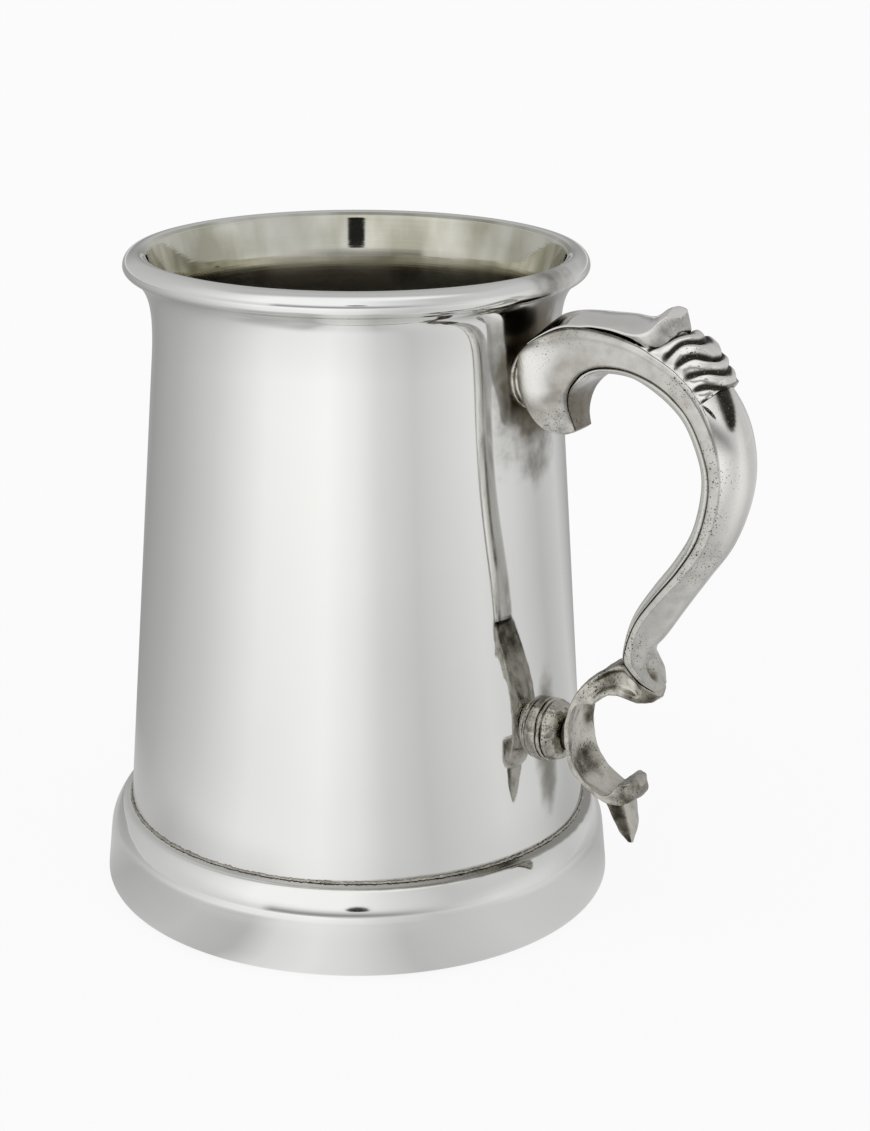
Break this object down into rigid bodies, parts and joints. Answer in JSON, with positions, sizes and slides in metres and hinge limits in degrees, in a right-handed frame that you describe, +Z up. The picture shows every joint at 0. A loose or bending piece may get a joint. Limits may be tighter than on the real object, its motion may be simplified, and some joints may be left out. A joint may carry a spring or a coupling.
{
  "type": "tankard",
  "caption": "Open tapered drinking tankard in polished pewter with a flared rim, a deep foot band and a cast double-scroll handle.",
  "frame": {"origin": "centre of the resting ring under the foot band, on the table", "axes": "+Z up along the drum's axis, +X towards the handle"},
  "size_m": [0.1311, 0.0988, 0.125],
  "materials": {
    "polished_pewter": "polished pewter with fine rub marks",
    "cast_pewter": "satin cast pewter with small pits",
    "worn_pewter": "cast pewter, dark in the recesses and rubbed bright on the edges",
    "solder": "rough dull solder"
  },
  "bodies": {
    "root": {"drum": "polished_pewter", "rim_ring": "polished_pewter", "foot_band": "polished_pewter", "solder_bead": "solder", "base_disc": "worn_pewter", "hook_saddle": "solder", "handle_back": "cast_pewter", "handle_belly": "cast_pewter", "thumb_leaf": "cast_pewter", "leaf_calyx": "cast_pewter", "boss_plate": "worn_pewter", "boss": "worn_pewter", "lower_scroll": "worn_pewter", "tail_leaf": "worn_pewter"}
  },
  "joints": []
}
